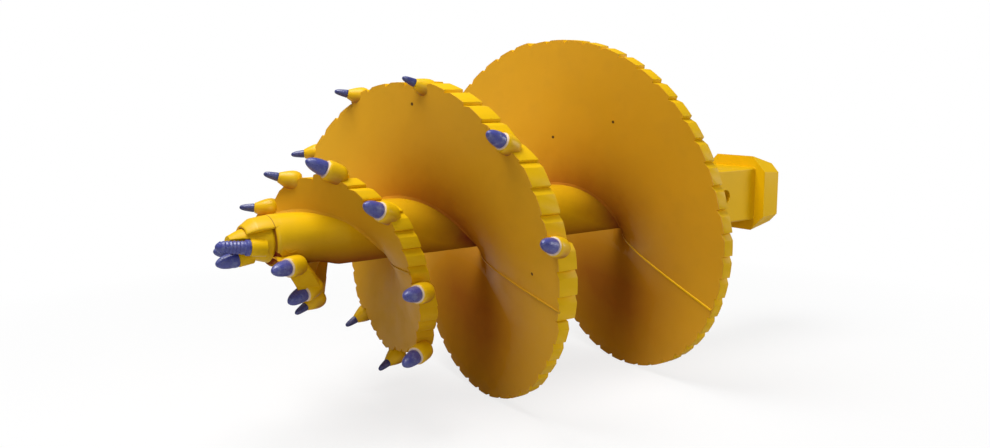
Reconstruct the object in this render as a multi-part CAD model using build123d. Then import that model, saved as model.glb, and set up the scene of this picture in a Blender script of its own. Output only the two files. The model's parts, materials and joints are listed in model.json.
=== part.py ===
from build123d import *
import math
import os

# A double-start, tapered rock auger for a drilling rig, lying on its side.
# Two steel flights start half a turn apart at the nose of a core tube. Flight b
# ends after about a turn, and flight a widens in steps and carries the spoil up.
# The rim of each flight is armoured with wear blocks, and round-shank picks stand
# in weld-on holders at every step of the rim. A pilot bit leads at the nose, and
# a square kelly box with a cross pin hole takes the drive at the other end.
#
# The origin is on the axis of the core tube, where the kelly pin crosses it.
# +X runs along the axis from the pilot bit to the kelly box, and +Z is up.
# A place on the auger is given by a reach, its distance along the axis from the
# tips of the pilot picks, an angle clockwise from the top as seen from the
# pilot bit, and a radius from the axis. Lengths are in millimetres.

# Main sizes
FLIGHT_RADIUS = 600
PIN_REACH = 2015
BOX_END_REACH = 2290

# Core tube and nose
TUBE_RADIUS = 90
NOSE_RADIUS = 75
NOSE_START_REACH = 151
NOSE_CHAMFER = 8
LUG_START_REACH = 76
LUG_SHOULDER_REACH = 104
LUG_END_REACH = 170
LUG_START_RADIUS = 50
LUG_SHOULDER_RADIUS = 68
LUG_GAP = 3
LUG_FIRST_ANGLE = -60.0
LUG_SWEEP = 112.0
CONE_START_REACH = 300
CONE_END_REACH = 370
BOX_START_REACH = 1760

# Flights
PLATE_THICKNESS = 25
BLOCK_HEIGHT = 30
BLOCK_NOTCH = 12
ROOT_LAND = 4
ROOT_GAP = 0.15
START_REACH = 255
RIM_WIDTH_MAIN = 42
RIM_WIDTH_A = 70
RIM_WIDTH_B = 62
LEAD_PITCH = 660
MAIN_PITCH = 647
END_PITCH_A = 630
END_PITCH_B = 450
FULL_TURN = 360

# How each flight climbs: the angle where it takes up each pitch, the first at START_REACH
CLIMBS = {
    "a": ((-180.0, LEAD_PITCH), (115.0, MAIN_PITCH), (475.0, END_PITCH_A)),
    "b": ((0.0, LEAD_PITCH), (150.0, END_PITCH_B)),
}

# Where the three edges of a wear block lie along its share of the rim
BLOCK_EDGE_SHARES = (0.0, 0.20, 0.88)
# How much of the climb to the next step the rim makes before it gets there
CREEP_SHARE = 0.35

# Steps of each rim: angle from the top, and the rim's share of FLIGHT_RADIUS from there on
STEP_SHARES_B = (
    (-62.0, 0.165),
    (-48.6, 0.190),
    (-21.0, 0.275),
    (13.0, 0.330),
    (66.0, 0.450),
    (118.0, 0.555),
    (150.0, 0.632),
    (184.0, 0.680),
    (222.0, 0.750),
    (270.0, 0.800),
    (400.0, 0.830),
)
STEP_SHARES_A = (
    (-242.0, 0.165),
    (-228.6, 0.190),
    (-201.0, 0.275),
    (-167.0, 0.330),
    (-114.0, 0.520),
    (-60.5, 0.690),
    (-26.0, 0.730),
    (9.6, 0.762),
    (56.0, 0.840),
    (91.0, 0.915),
    (115.0, 0.950),
    (140.0, 0.972),
    (158.0, 0.986),
    (174.0, 1.000),
    (322.0, 1.000),
    (348.0, 0.976),
    (424.0, 0.976),
    (450.0, 1.000),
    (700.0, 1.000),
)

# Sections of each flight: name, start, first angle, last angle, number of blocks, rim width
FLIGHT_SECTIONS = (
    ("flight_a_lead", "a", -240.0, 115.0, 32, RIM_WIDTH_A),
    ("flight_a_main", "a", 115.0, 475.0, 42, RIM_WIDTH_MAIN),
    ("flight_a_end", "a", 475.0, 578.0, 12, RIM_WIDTH_MAIN),
    ("flight_b_lead", "b", -60.0, 115.0, 18, RIM_WIDTH_B),
    ("flight_b_end", "b", 115.0, 325.0, 20, RIM_WIDTH_B),
)
RIM_WIDTHS = {"a": RIM_WIDTH_A, "b": RIM_WIDTH_B}
STEP_TABLES = {"a": STEP_SHARES_A, "b": STEP_SHARES_B}

# Picks and their holders
HOLDER_RADIUS = 30
HOLDER_ROOT = 34
HOLDER_LENGTH = 34
HOLDER_CHAMFER = 7
SHANK_RADIUS = 15
SHANK_LENGTH = 42
RUNNING_CLEARANCE = 0.1
SEAT_GAP = 0.3
BORE_BOTTOM_GAP = 3
COLLAR_RADIUS = 22.5
COLLAR_LENGTH = 13
NECK_RADIUS = 10.5
NECK_SHARE = 0.74
TIP_RADIUS = 6.5
PICK_LENGTH = 62
PICK_CLEARANCE = 6

# A pick leans forwards, into the cut and outwards, in these shares
FORWARD_SHARE = 0.75
INTO_CUT_SHARE = 0.22
OUTWARD_SHARE = 0.28

# Teeth: name, angle, where the holder's root lies across the rim's width, and its
# radius as a share of FLIGHT_RADIUS
TOOTH_SHARES = (
    ("b_1", -43.4, 0.2, 0.188),
    ("b_2", -12.7, 0.2, 0.280),
    ("b_3", 27.7, 0.2, 0.355),
    ("b_4", 71.3, 0.2, 0.431),
    ("b_5", 115.8, 0.2, 0.544),
    ("b_6", 152.4, 0.2, 0.657),
    ("b_7", 184.8, 0.2, 0.704),
    ("b_8", 222.2, 0.2, 0.770),
    ("a_1", -232.1, 0.5, 0.173),
    ("a_2", -193.3, 0.5, 0.249),
    ("a_3", -174.0, 0.5, 0.328),
    ("a_4", -114.0, 0.2, 0.445),
    ("a_5", -59.6, 0.2, 0.698),
    ("a_6", -24.1, 0.2, 0.729),
    ("a_7", 12.9, 0.2, 0.730),
    ("a_8", 56.3, 0.2, 0.803),
    ("a_9", 91.0, 0.2, 0.903),
)

# Pilot bit
PILOT_START_REACH = 36
PILOT_FRONT_RADIUS = 25
PILOT_SHOULDER_REACH = 62
PILOT_SHOULDER_RADIUS = 36
PILOT_BACK_RADIUS = 61
SLOT_WIDTH = 6
SLOT_DEPTH = 5
PILOT_HOLDER_RADIUS = 23.5
PILOT_HOLDER_LENGTH = 10
PILOT_HOLDER_CHAMFER = 3
PILOT_SPOT_GAP = 3
# Pilot picks: name, angle, reach and radius of the holder's root, forward, into-cut
# and outward shares of its direction, and length
PILOT_TEETH = (
    ("pilot_1", 100.0, 92, 45, (0.98, 0.08, -0.16), 96),
    ("pilot_2", 172.0, 68, 40, (0.97, 0.04, 0.13), 64),
    ("pilot_3", 240.0, 86, 46, (0.97, -0.06, 0.13), 64),
)

# Kelly box
BOX_WIDTH = 210
BOX_CORNER = 6
SOCKET_WIDTH = 154
SOCKET_DEPTH = 400
PIN_RADIUS = 26
COLLAR_START_REACH = 2195
COLLAR_WIDTH = 300
COLLAR_CORNER = 60
COLLAR_END_WIDTH = 292
COLLAR_END_HEIGHT = 236
COLLAR_END_CORNER = 34
OVERRUN = 10


def point(reach, angle, radius):
    """A place on the auger."""
    turned = math.radians(angle)
    return Vector(reach - PIN_REACH, -radius * math.sin(turned), radius * math.cos(turned))


def leaning(angle, forward, into_cut, outward):
    """The direction of a pick at an angle round the auger."""
    turned = math.radians(angle)
    ahead = Vector(-1, 0, 0)
    across = Vector(0, math.cos(turned), math.sin(turned))
    out = Vector(0, -math.sin(turned), math.cos(turned))
    return (ahead * forward + across * into_cut + out * outward).normalized()


def core_radius(reach):
    """The radius of the core at a reach, nose, cone or tube."""
    if reach <= CONE_START_REACH:
        return NOSE_RADIUS
    if reach >= CONE_END_REACH:
        return TUBE_RADIUS
    along = (reach - CONE_START_REACH) / (CONE_END_REACH - CONE_START_REACH)
    return NOSE_RADIUS + (TUBE_RADIUS - NOSE_RADIUS) * along


def rim_radius(start, angle):
    """The radius of a flight's rim, which creeps out and then steps up at each tooth."""
    steps = STEP_TABLES[start]
    for (angle_here, share_here), (angle_next, share_next) in zip(steps, steps[1:]):
        if angle_here <= angle < angle_next:
            along = (angle - angle_here) / (angle_next - angle_here)
            share = share_here + (share_next - share_here) * CREEP_SHARE * along
            return share * FLIGHT_RADIUS
    return steps[-1][1] * FLIGHT_RADIUS


def flight_reach(start, angle):
    """The reach of the front face of a flight, from the pitch of each stretch of it."""
    reach = START_REACH
    begin, pitch = CLIMBS[start][0]
    for next_begin, next_pitch in CLIMBS[start][1:]:
        if angle > next_begin:
            reach += pitch * (next_begin - begin) / FULL_TURN
            begin, pitch = next_begin, next_pitch
    return reach + pitch * (angle - begin) / FULL_TURN


def station(start, angle, width, low, half_step):
    """The L-shaped section of a plate and its wear block, on the radial plane at an angle."""
    front = flight_reach(start, angle)
    clear = math.cos(math.radians(half_step))
    top = rim_radius(start, angle) - (BLOCK_NOTCH if low else 0)
    root_front = core_radius(front) / clear + ROOT_GAP
    root_back = core_radius(front + PLATE_THICKNESS) / clear + ROOT_GAP
    under = max(rim_radius(start, angle) - BLOCK_HEIGHT, root_back + ROOT_LAND)
    corners = (
        (front, root_front),
        (front, top),
        (front + width, top),
        (front + width, under),
        (front + PLATE_THICKNESS, under),
        (front + PLATE_THICKNESS, root_back),
    )
    return Wire.make_polygon([point(reach, angle, radius) for reach, radius in corners], close=True)


def flight_solid(start, first, last, count, width):
    """A helical plate with a row of wear blocks along its rim."""
    step = (last - first) / count
    stations = []
    for number in range(count):
        for share in BLOCK_EDGE_SHARES:
            angle = first + step * (number + share)
            stations.append(station(start, angle, width, share == 0, step / 2))
    stations.append(station(start, last, width, True, step / 2))
    return Solid.make_loft(stations, ruled=True)


def placed(solid, origin, direction):
    """A solid of revolution made round Z, set at a place and turned to a direction."""
    return solid.moved(Plane(origin=origin, z_dir=direction).location)


def pick_solid(length):
    """A round-shank pick: shank, collar, tapered body and hard tip."""
    neck = length * NECK_SHARE
    outline = Polyline(
        (0, -SHANK_LENGTH),
        (SHANK_RADIUS, -SHANK_LENGTH),
        (SHANK_RADIUS, SEAT_GAP),
        (COLLAR_RADIUS, SEAT_GAP),
        (COLLAR_RADIUS, COLLAR_LENGTH),
        (NECK_RADIUS, neck),
        (TIP_RADIUS, length - TIP_RADIUS / 2),
        (0, length),
        close=True,
    )
    face = Plane.XZ * make_face(outline)
    return revolve(face, axis=Axis.Z)


def shank_bore():
    """The hole in a holder that a pick's shank turns in."""
    depth = SHANK_LENGTH + BORE_BOTTOM_GAP
    hole = Cylinder(SHANK_RADIUS + RUNNING_CLEARANCE, depth + OVERRUN, align=(Align.CENTER, Align.CENTER, Align.MIN))
    return hole.moved(Location((0, 0, -depth)))


def holder_blank(radius, length, edge):
    """A round holder before it is fitted to what carries it, with its seat at z = 0."""
    body = Cylinder(radius, HOLDER_ROOT + length, align=(Align.CENTER, Align.CENTER, Align.MAX))
    return chamfer(body.edges().group_by(Axis.Z)[-1], edge)


def rim_notch():
    """The notch in a flight that a holder is welded into, long enough to clear its pick."""
    reach = HOLDER_ROOT + HOLDER_LENGTH + PICK_LENGTH + PICK_CLEARANCE
    notch = Cylinder(HOLDER_RADIUS, reach, align=(Align.CENTER, Align.CENTER, Align.MIN))
    return notch.moved(Location((0, 0, -HOLDER_ROOT - HOLDER_LENGTH)))


def revolved(rows):
    """A solid turned about the auger's axis from rows of reach and radius."""
    points = [(reach - PIN_REACH, radius) for reach, radius in rows]
    points.append((rows[-1][0] - PIN_REACH, 0))
    points.append((rows[0][0] - PIN_REACH, 0))
    face = make_face(Polyline(*points, close=True))
    return revolve(face, axis=Axis.X)


def octagon(reach, width, height, corner):
    """A rectangle with cut corners, across the auger at a reach."""
    wide, high = width / 2, height / 2
    corners = (
        (wide, high - corner),
        (wide - corner, high),
        (corner - wide, high),
        (-wide, high - corner),
        (-wide, corner - high),
        (corner - wide, -high),
        (wide - corner, -high),
        (wide, corner - high),
    )
    return Wire.make_polygon([Vector(reach - PIN_REACH, y, z) for y, z in corners], close=True)


# Core: the nose that the flights start from, with a lug over the pilot bit, and the tube
nose = revolved((
    (NOSE_START_REACH, NOSE_RADIUS - NOSE_CHAMFER),
    (NOSE_START_REACH + NOSE_CHAMFER, NOSE_RADIUS),
    (CONE_START_REACH, NOSE_RADIUS),
    (CONE_END_REACH, TUBE_RADIUS),
))
lug_slope = (PILOT_BACK_RADIUS - PILOT_SHOULDER_RADIUS) / (NOSE_START_REACH - PILOT_SHOULDER_REACH)
lug_under = PILOT_SHOULDER_RADIUS + lug_slope * (LUG_START_REACH - PILOT_SHOULDER_REACH) + LUG_GAP
lug_outline = (
    (LUG_START_REACH, lug_under),
    (LUG_START_REACH, LUG_START_RADIUS),
    (LUG_SHOULDER_REACH, LUG_SHOULDER_RADIUS),
    (LUG_END_REACH, NOSE_RADIUS),
    (LUG_END_REACH, PILOT_BACK_RADIUS + LUG_GAP),
    (NOSE_START_REACH, PILOT_BACK_RADIUS + LUG_GAP),
)
lug_face = Plane.XZ * make_face(Polyline(*[(reach - PIN_REACH, radius) for reach, radius in lug_outline], close=True))
lug = revolve(lug_face.rotate(Axis.X, LUG_FIRST_ANGLE), axis=Axis.X, revolution_arc=LUG_SWEEP)
nose = nose + lug
core_tube = revolved((
    (CONE_END_REACH, TUBE_RADIUS),
    (BOX_START_REACH, TUBE_RADIUS),
))

# Picks, each in a weld-on holder that is cut to seat on the core
holders = {"a": [], "b": []}
notches = {"a": [], "b": []}
picks = {}
seats = {}
for name, angle, width_share, share in TOOTH_SHARES:
    start = name[0]
    direction = leaning(angle, FORWARD_SHARE, INTO_CUT_SHARE, OUTWARD_SHARE)
    reach = flight_reach(start, angle) + RIM_WIDTHS[start] * width_share
    seat = point(reach, angle, share * FLIGHT_RADIUS) + direction * HOLDER_LENGTH
    holder = placed(holder_blank(HOLDER_RADIUS, HOLDER_LENGTH, HOLDER_CHAMFER), seat, direction)
    holder = holder - nose - core_tube - placed(shank_bore(), seat, direction)
    holders[start].append(holder.solids().sort_by(SortBy.VOLUME)[-1])
    notches[start].append(placed(rim_notch(), seat, direction))
    picks["pick_" + name] = placed(pick_solid(PICK_LENGTH), seat, direction)
    seats["pick_" + name] = (seat, direction)

# Flights, each with notches for its holders
flights = {}
for name, start, first, last, count, width in FLIGHT_SECTIONS:
    flight = flight_solid(start, first, last, count, width)
    if first < CLIMBS[start][0][0]:
        flight = flight - nose - core_tube
    for notch in notches[start]:
        flight = flight - notch
    flights[name] = flight.solids().sort_by(SortBy.VOLUME)[-1]

# Pilot bit with its own picks
pilot = revolved((
    (PILOT_START_REACH, PILOT_FRONT_RADIUS),
    (PILOT_SHOULDER_REACH, PILOT_SHOULDER_RADIUS),
    (NOSE_START_REACH - SLOT_WIDTH, PILOT_BACK_RADIUS),
    (NOSE_START_REACH - SLOT_WIDTH, PILOT_BACK_RADIUS - SLOT_DEPTH),
    (NOSE_START_REACH, PILOT_BACK_RADIUS - SLOT_DEPTH),
))
for name, angle, reach, radius, shares, length in PILOT_TEETH:
    direction = leaning(angle, *shares)
    seat = point(reach, angle, radius) + direction * PILOT_HOLDER_LENGTH
    boss = holder_blank(PILOT_HOLDER_RADIUS, PILOT_HOLDER_LENGTH, PILOT_HOLDER_CHAMFER)
    pilot = pilot + placed(boss, seat, direction)
    picks["pick_" + name] = placed(pick_solid(length), seat, direction)
    seats["pick_" + name] = (seat, direction)
for name, angle, reach, radius, shares, length in PILOT_TEETH:
    spot = Cylinder(COLLAR_RADIUS + PILOT_SPOT_GAP, length, align=(Align.CENTER, Align.CENTER, Align.MIN))
    pilot = pilot - placed(spot, *seats["pick_" + name]) - placed(shank_bore(), *seats["pick_" + name])

# Kelly box: a square tube with a closed foot, a tapered octagonal collar round its
# mouth, a socket and a cross pin hole
box_length = BOX_END_REACH - BOX_START_REACH
kelly_box = Box(box_length, BOX_WIDTH, BOX_WIDTH, align=(Align.MIN, Align.CENTER, Align.CENTER))
kelly_box = chamfer(kelly_box.edges().filter_by(Axis.X), BOX_CORNER)
kelly_box = kelly_box.moved(Location((BOX_START_REACH - PIN_REACH, 0, 0)))
collar = Solid.make_loft([
    octagon(COLLAR_START_REACH, COLLAR_WIDTH, COLLAR_WIDTH, COLLAR_CORNER),
    octagon(BOX_END_REACH, COLLAR_END_WIDTH, COLLAR_END_HEIGHT, COLLAR_END_CORNER),
], ruled=True)
kelly_box = kelly_box + collar
socket = Box(SOCKET_DEPTH + OVERRUN, SOCKET_WIDTH, SOCKET_WIDTH, align=(Align.MIN, Align.CENTER, Align.CENTER))
kelly_box = kelly_box - socket.moved(Location((BOX_END_REACH - SOCKET_DEPTH - PIN_REACH, 0, 0)))
kelly_box = kelly_box - Cylinder(PIN_RADIUS, BOX_WIDTH + OVERRUN, rotation=(90, 0, 0))

# Files
nodes = {
    "nose": nose,
    "core_tube": core_tube,
    "pilot_bit": pilot,
    "kelly_box": kelly_box,
    "pick_holders_a": Compound(holders["a"]),
    "pick_holders_b": Compound(holders["b"]),
}
nodes.update(flights)
nodes.update(picks)

os.makedirs("parts", exist_ok=True)
for name, shape in nodes.items():
    export_step(shape, "parts/" + name + ".step")
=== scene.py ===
import json
import math
from collections import namedtuple

import bmesh
import bpy
from bpy.props import FloatProperty, FloatVectorProperty, IntProperty, PointerProperty
from mathutils import Matrix, Vector


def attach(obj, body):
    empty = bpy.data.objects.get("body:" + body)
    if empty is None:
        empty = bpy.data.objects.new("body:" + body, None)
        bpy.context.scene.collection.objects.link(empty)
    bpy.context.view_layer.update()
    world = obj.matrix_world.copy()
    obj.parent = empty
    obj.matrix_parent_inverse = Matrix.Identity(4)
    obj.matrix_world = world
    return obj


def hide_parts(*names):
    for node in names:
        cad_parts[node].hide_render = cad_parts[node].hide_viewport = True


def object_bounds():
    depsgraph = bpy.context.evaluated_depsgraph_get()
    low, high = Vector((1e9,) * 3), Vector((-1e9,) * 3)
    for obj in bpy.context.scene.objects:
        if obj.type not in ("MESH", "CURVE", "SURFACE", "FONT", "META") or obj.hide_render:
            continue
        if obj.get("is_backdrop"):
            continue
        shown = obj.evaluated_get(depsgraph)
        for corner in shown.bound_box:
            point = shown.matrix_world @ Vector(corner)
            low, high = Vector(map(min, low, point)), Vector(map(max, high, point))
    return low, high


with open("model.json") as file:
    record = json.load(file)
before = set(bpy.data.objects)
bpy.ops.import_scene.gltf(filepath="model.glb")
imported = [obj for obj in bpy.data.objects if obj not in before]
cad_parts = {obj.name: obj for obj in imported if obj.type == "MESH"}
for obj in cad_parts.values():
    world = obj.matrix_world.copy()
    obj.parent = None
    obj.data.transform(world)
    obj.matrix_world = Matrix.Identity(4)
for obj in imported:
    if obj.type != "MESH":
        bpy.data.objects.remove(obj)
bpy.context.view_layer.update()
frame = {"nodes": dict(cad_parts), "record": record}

bl_info = {
    "name": "Rock auger",
    "version": (1, 0),
    "blender": (4, 5, 0),
    "location": "3D View > Sidebar > Auger",
    "description": "Dresses a double-start rock auger: flights, wear blocks, holders, picks and kelly box",
    "category": "Object",
}

# Places on the auger are given by a reach along the axis from the tips of the pilot
# picks, an angle clockwise from the top as seen from there, and a radius, in metres.
FULL_TURN = 360.0
ORIGIN = Vector((0, 0, 0))
AXIS = Vector((1, 0, 0))

# Where both flights start, and how each climbs: an angle, and the pitch from there on
START_REACH = 0.255
CLIMBS = {
    "a": ((-180.0, 0.660), (115.0, 0.647), (475.0, 0.630)),
    "b": ((0.0, 0.660), (150.0, 0.450)),
}

# Steps of each rim: an angle, and the rim's share of the way from the nose to full radius from
# there on. Before each step the rim creeps out by a part of it.
CREEP_SHARE = 0.35
STEP_SHARES = {
    "b": (
        (-62.0, 0.046), (-48.6, 0.074), (-21.0, 0.171), (13.0, 0.234), (66.0, 0.371), (118.0, 0.491),
        (150.0, 0.579), (184.0, 0.634), (222.0, 0.714), (270.0, 0.771), (400.0, 0.806),
    ),
    "a": (
        (-242.0, 0.046), (-228.6, 0.074), (-201.0, 0.171), (-167.0, 0.234), (-114.0, 0.451), (-60.5, 0.646),
        (-26.0, 0.691), (9.6, 0.728), (56.0, 0.817), (91.0, 0.903), (115.0, 0.943), (140.0, 0.968),
        (158.0, 0.984), (174.0, 1.000), (322.0, 1.000), (348.0, 0.973), (424.0, 0.973), (450.0, 1.000),
        (700.0, 1.000),
    ),
}

# Sections of each flight, with their first and last angle and the length and width of their wear blocks
Section = namedtuple("Section", "name flight first last block_length block_width")
FLIGHT_SECTIONS = (
    Section("flight_a_lead", "a", -240.0, 115.0, 0.080, 0.070),
    Section("flight_a_main", "a", 115.0, 475.0, 0.079, 0.042),
    Section("flight_a_end", "a", 475.0, 615.0, 0.082, 0.042),
    Section("flight_b_lead", "b", -60.0, 115.0, 0.057, 0.062),
    Section("flight_b_end", "b", 115.0, 325.0, 0.057, 0.062),
)

# A plate's stops from core to rim, as shares of the way, and how far its inner edge is sunk into the
# core and its outer edge stands back from the rim
PLATE_STOPS = (0.0, 0.12, 0.25, 0.4, 0.55, 0.7, 0.85, 1.0)
PLATE_EDGES = {0.0: -0.004, 1.0: -0.0008}

# Wear blocks: the largest share of a block that each of its slopes takes, the places along it that
# set its height, the angle between two bends, the gap beside it, and the gap in a notch in degrees
RISE_SHARE = 0.35
FALL_SHARE = 0.1
LEVEL_SHARES = (0.20, 0.88)
BEND_STEP = 5.0
SIDE_GAP = 0.0008
NOTCH_GAP = 0.001

# Welds at the flights' roots: how deep they reach into the core and the plate, and their hollow
CORE_BITE = 0.003
PLATE_BITE = 0.002
WELD_HOLLOW = 0.35

# Seam welds on the flights' front faces, each straight and tangent to the core, with the angle
# and radius of the outer end and the radius of the inner end
Seam = namedtuple("Seam", "name flight angle outer inner")
SEAMS = (
    Seam("seam_a_lead", "a", 111.0, 0.561, 0.112),
    Seam("seam_a_main", "a", 479.5, 0.594, 0.112),
    Seam("seam_b_lead", "b", 108.0, 0.285, 0.106),
)

# Dark specks in the paint, where the photo shows them
SPECKS = (
    (-1.4131, -0.0606, 0.3780), (-0.7859, 0.0178, 0.2544), (-0.7183, -0.2070, 0.3118), (-1.2389, -0.4169, -0.1049),
)

# Profiles turned about an axis: distance along it and radius
NOSE_ROWS = (
    (0.151, 0.0), (0.151, 0.062), (0.1515, 0.066), (0.1535, 0.0695), (0.158, 0.0732), (0.165, 0.0748),
    (0.180, 0.0752), (0.240, 0.0752), (0.290, 0.0753), (0.305, 0.0760), (0.335, 0.0820), (0.360, 0.0885),
    (0.370, 0.0902), (0.3702, 0.0902), (0.3702, 0.0),
)
TUBE_ROWS = (
    (0.3700, 0.0), (0.3700, 0.0902), (0.900, 0.0902), (1.300, 0.0902), (1.7590, 0.0902), (1.7590, 0.0),
)

# The lug on the nose: its outline, the angle where it begins, the angle that it covers, the steps of
# its turn, and its rounding
LUG_OUTLINE = (
    (0.076, 0.0435), (0.076, 0.0500), (0.104, 0.0680), (0.170, 0.0755), (0.170, 0.0640), (0.151, 0.0640),
)
LUG_START = -60.0
LUG_COVER = 112.0
LUG_STEPS = 18
LUG_ROUNDING = 0.010

# The curved weld on the nose: its depth and width, the reach at its middle and half its length, its
# radius, its angle at the middle with its lean and bow, and what its width adds to reach and angle
CRESCENT_DEPTH = 0.005
CRESCENT_WIDTH = 0.004
CRESCENT_REACH = 0.1875
CRESCENT_HALF = 0.023
CRESCENT_RADIUS = 0.0755
CRESCENT_ANGLE = 109.9
CRESCENT_LEAN = 4.2
CRESCENT_BOW = 9.2
CRESCENT_ALONG = 0.6
CRESCENT_ROUND = 700

# Which teeth have a slim pick in a horn-shaped holder
SLIM_TEETH = ("b_1", "b_2", "b_7", "b_8", "a_3", "a_4", "a_5", "a_6", "a_7")
SHANK_RADII = {"full": 0.0150, "slim": 0.0104, "short": 0.0150, "long": 0.0150}
SHANK_START = -0.030
SHANK_END = -0.001
PICK_ROWS = {
    "full": (
        (0.0004, 0.0205), (0.0014, 0.0220), (0.0030, 0.0225), (0.0090, 0.0225), (0.0130, 0.0222), (0.0220, 0.0213),
        (0.0300, 0.0200), (0.0380, 0.0181), (0.0450, 0.0158), (0.0510, 0.0128), (0.0560, 0.0094), (0.0595, 0.0058),
        (0.0614, 0.0028), (0.0620, 0.0),
    ),
    "slim": (
        (0.0004, 0.0110), (0.0010, 0.0124), (0.0040, 0.0126), (0.0100, 0.0118), (0.0180, 0.0108), (0.0270, 0.0094),
        (0.0340, 0.0078), (0.0385, 0.0058), (0.0410, 0.0032), (0.0420, 0.0),
    ),
    "short": (
        (0.0004, 0.0205), (0.0014, 0.0220), (0.0030, 0.0225), (0.0120, 0.0225), (0.0160, 0.0214), (0.0300, 0.0202),
        (0.0400, 0.0180), (0.0470, 0.0158), (0.0530, 0.0128), (0.0585, 0.0090), (0.0620, 0.0050), (0.0640, 0.0),
    ),
    "long": (
        (0.0004, 0.0205), (0.0014, 0.0220), (0.0030, 0.0225), (0.0120, 0.0225), (0.0150, 0.0190), (0.0190, 0.0183),
        (0.0240, 0.0190), (0.0280, 0.0172), (0.0330, 0.0188), (0.0380, 0.0170), (0.0430, 0.0187), (0.0480, 0.0168),
        (0.0530, 0.0185), (0.0580, 0.0165), (0.0630, 0.0181), (0.0680, 0.0160), (0.0730, 0.0174), (0.0780, 0.0152),
        (0.0830, 0.0158), (0.0880, 0.0120), (0.0920, 0.0082), (0.0950, 0.0040), (0.0960, 0.0),
    ),
}
HOLDER_ROWS = {
    "full": (
        (-0.006, 0.0152), (-0.0005, 0.0156), (0.0, 0.0175), (-0.0003, 0.0232), (-0.0014, 0.0252), (-0.0045, 0.0276),
        (-0.0090, 0.0294), (-0.0200, 0.0300), (-0.0360, 0.0302), (-0.0480, 0.0296), (-0.0570, 0.0270),
        (-0.0630, 0.0225), (-0.0665, 0.0150), (-0.0680, 0.0),
    ),
    "slim": (
        (-0.006, 0.0107), (-0.0005, 0.0110), (0.0, 0.0120), (-0.0004, 0.0136), (-0.0020, 0.0150), (-0.0070, 0.0172),
        (-0.0140, 0.0204), (-0.0220, 0.0238), (-0.0300, 0.0268), (-0.0380, 0.0290), (-0.0470, 0.0300),
        (-0.0560, 0.0286), (-0.0630, 0.0240), (-0.0665, 0.0160), (-0.0680, 0.0),
    ),
}

# Where the painted shade on a holder's underside begins and how far it takes to deepen, how much of the flanks
# it takes in, and how far down a slim holder's pale ring is sunk so that none of it shows
UNDER_START = 0.006
UNDER_SPREAD = 0.024
UNDER_FLANK = 0.35
RING_SUNK = 0.010

# Lamps: name, place, the place that it is aimed at, size and power
LAMPS = (
    ("lamp_top", (-2.4, 0.2, 3.9), (-1.0, 0.0, 0.0), 3.0, 199.0),
    ("lamp_front", (-3.8, -4.2, 1.2), (-0.9, 0.0, -0.1), 2.5, 28.0),
    ("lamp_side", (2.6, -2.3, 0.9), (0.1, 0.0, 0.0), 2.2, 56.0),
)
ROOM_LIGHT = 0.19

# The floor: half its width, its gap under the auger, and the place round which the camera sees it turn
# to plain white, between two distances
FLOOR_HALF = 60.0
FLOOR_GAP = 0.0005
FLOOR_MIDDLE = (-1.0, 0.0)
FLOOR_WHITE = (1.3, 2.8)

# The camera's view of the photo: its right, up and back, and its place from the pilot picks' tips
CAMERA_AXES = ((0.79296, -0.60928, 0.0), (0.088956, 0.115773, 0.989284), (-0.602751, -0.784458, 0.146001))
CAMERA_PLACE = (-0.9677, -2.5108, 0.44275)
CAMERA_LENS = 34.953
CAMERA_SENSOR = 36.0


class AugerSizes(bpy.types.PropertyGroup):
    """Sizes that a user of the auger may change"""

    flight_radius: FloatProperty(
        name="Flight radius", description="Radius of the widest flight", default=0.600, unit="LENGTH"
    )
    pin_reach: FloatProperty(
        name="Pin reach", description="From the pilot picks' tips to the kelly pin", default=2.015, unit="LENGTH"
    )
    nose_radius: FloatProperty(name="Nose radius", description="Radius of the nose", default=0.075, unit="LENGTH")
    tube_radius: FloatProperty(
        name="Tube radius", description="Radius of the core tube", default=0.090, unit="LENGTH"
    )
    cone_start: FloatProperty(name="Cone start", description="Where the nose widens", default=0.300, unit="LENGTH")
    cone_end: FloatProperty(name="Cone end", description="Where the tube begins", default=0.370, unit="LENGTH")
    plate: FloatProperty(name="Plate", description="Thickness of the flights", default=0.025, unit="LENGTH")
    block_height: FloatProperty(
        name="Block height", description="Height of a wear block", default=0.030, unit="LENGTH"
    )
    block_edge: FloatProperty(
        name="Block edge", description="Rounding of a wear block's edges", default=0.0016, unit="LENGTH"
    )
    block_rise: FloatProperty(
        name="Block rise", description="Length of the slope up at a wear block's leading end", default=0.021,
        unit="LENGTH",
    )
    block_fall: FloatProperty(
        name="Block fall", description="Length of the slope at a wear block's other end", default=0.004,
        unit="LENGTH",
    )
    block_notch: FloatProperty(
        name="Block notch", description="Depth of the notch between two wear blocks", default=0.011, unit="LENGTH"
    )
    seam_width: FloatProperty(
        name="Seam width", description="Width of a seam weld on a flight", default=0.009, unit="LENGTH"
    )
    seam_height: FloatProperty(
        name="Seam height", description="How far a seam weld stands proud", default=0.0035, unit="LENGTH"
    )
    weld: FloatProperty(name="Weld", description="Leg of the weld at a flight's root", default=0.011, unit="LENGTH")
    bit_edge: FloatProperty(
        name="Bit edge", description="Rounding of the pilot bit's edges", default=0.0012, unit="LENGTH"
    )
    box_edge: FloatProperty(
        name="Box edge", description="Rounding of the kelly box's edges", default=0.0045, unit="LENGTH"
    )
    turn_steps: IntProperty(name="Turn steps", description="Faces round the core", default=64, min=12)
    pick_steps: IntProperty(name="Pick steps", description="Faces round a pick or holder", default=40, min=12)


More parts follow.
